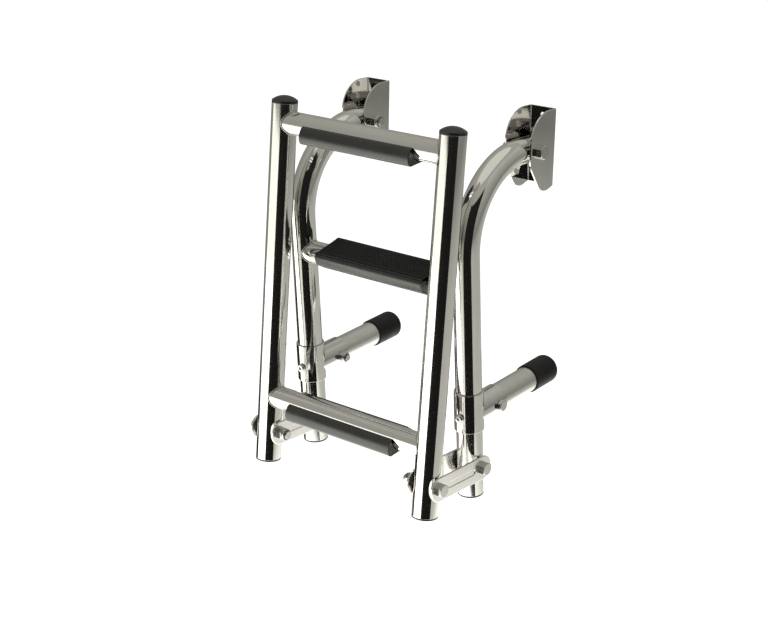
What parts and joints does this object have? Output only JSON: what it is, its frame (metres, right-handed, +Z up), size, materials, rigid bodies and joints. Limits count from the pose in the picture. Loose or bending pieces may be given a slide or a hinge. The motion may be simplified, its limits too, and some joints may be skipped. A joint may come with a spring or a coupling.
{
  "type": "folding boat ladder",
  "caption": "Stainless boat ladder that folds up on link plates, with hull brackets, black treads and rubber-footed stand-offs.",
  "frame": {"origin": "on the hull face of the left bracket, level with its hinge bolt", "axes": "+X along the rungs from the left rail to the right rail, +Y into the hull, +Z up"},
  "size_m": [0.2414, 0.207, 0.3636],
  "materials": {
    "polished_steel": "mirror polished stainless steel",
    "satin_steel": "satin stainless steel",
    "bolt_steel": "plain stainless fasteners",
    "tread_plastic": "ribbed black plastic",
    "black_plastic": "smooth black plastic",
    "black_rubber": "matte black rubber",
    "nylon_washer": "dark nylon"
  },
  "bodies": {
    "brackets": {"bracket_left": "polished_steel", "hinge_bolt_left": "bolt_steel", "hinge_nut_left": "bolt_steel", "hinge_washers_left": "nylon_washer", "bracket_right": "polished_steel", "hinge_bolt_right": "bolt_steel", "hinge_nut_right": "bolt_steel", "hinge_washers_right": "nylon_washer"},
    "upper_frame": {"upper_rail_left": "polished_steel", "upper_plug_left": "black_plastic", "upper_rail_right": "polished_steel", "upper_plug_right": "black_plastic", "upper_rung": "polished_steel", "upper_tread": "tread_plastic"},
    "links": {"link_outer_left": "polished_steel", "link_inner_left": "polished_steel", "link_bolt_rear_left": "bolt_steel", "link_bolt_front_left": "bolt_steel", "link_nuts_left": "bolt_steel", "link_washers_left": "nylon_washer", "link_outer_right": "polished_steel", "link_inner_right": "polished_steel", "link_bolt_rear_right": "bolt_steel", "link_bolt_front_right": "bolt_steel", "link_nuts_right": "bolt_steel", "link_washers_right": "nylon_washer"},
    "lower_frame": {"lower_rail_left": "polished_steel", "lower_plug_left": "black_plastic", "lower_cap_left": "black_plastic", "lower_rail_right": "polished_steel", "lower_plug_right": "black_plastic", "lower_cap_right": "black_plastic", "lower_rung_near": "polished_steel", "lower_tread_near": "tread_plastic", "lower_rung_far": "polished_steel", "lower_tread_far": "tread_plastic"},
    "clamp_left": {"standoff_clamp_left": "polished_steel", "clamp_screw_left": "bolt_steel", "standoff_tube_left": "satin_steel", "rubber_foot_left": "black_rubber", "standoff_bolt_left": "bolt_steel", "standoff_nut_left": "bolt_steel"},
    "clamp_right": {"standoff_clamp_right": "polished_steel", "clamp_screw_right": "bolt_steel", "standoff_tube_right": "satin_steel", "rubber_foot_right": "black_rubber", "standoff_bolt_right": "bolt_steel", "standoff_nut_right": "bolt_steel"}
  },
  "joints": [
    {"name": "ladder_swing", "type": "hinge", "parent": "brackets", "child": "upper_frame", "pos_m": [0, -0.0245, 0], "axis": [-1, 0, 0], "range_deg": [0, 90]},
    {"name": "link_fold", "type": "hinge", "parent": "upper_frame", "child": "links", "pos_m": [0, -0.09574, -0.29279], "axis": [1, 0, 0], "range_deg": [0, 94.8]},
    {"name": "frame_fold", "type": "hinge", "parent": "links", "child": "lower_frame", "pos_m": [0, -0.16174, -0.29279], "axis": [1, 0, 0], "range_deg": [0, 94.2]},
    {"name": "clamp_slide_left", "type": "slide", "parent": "upper_frame", "child": "clamp_left", "axis": [0, -0.0837, 0.9965], "range_m": [-0.008, 0.06]},
    {"name": "clamp_slide_right", "type": "slide", "parent": "upper_frame", "child": "clamp_right", "axis": [0, -0.0837, 0.9965], "range_m": [-0.008, 0.06]}
  ]
}
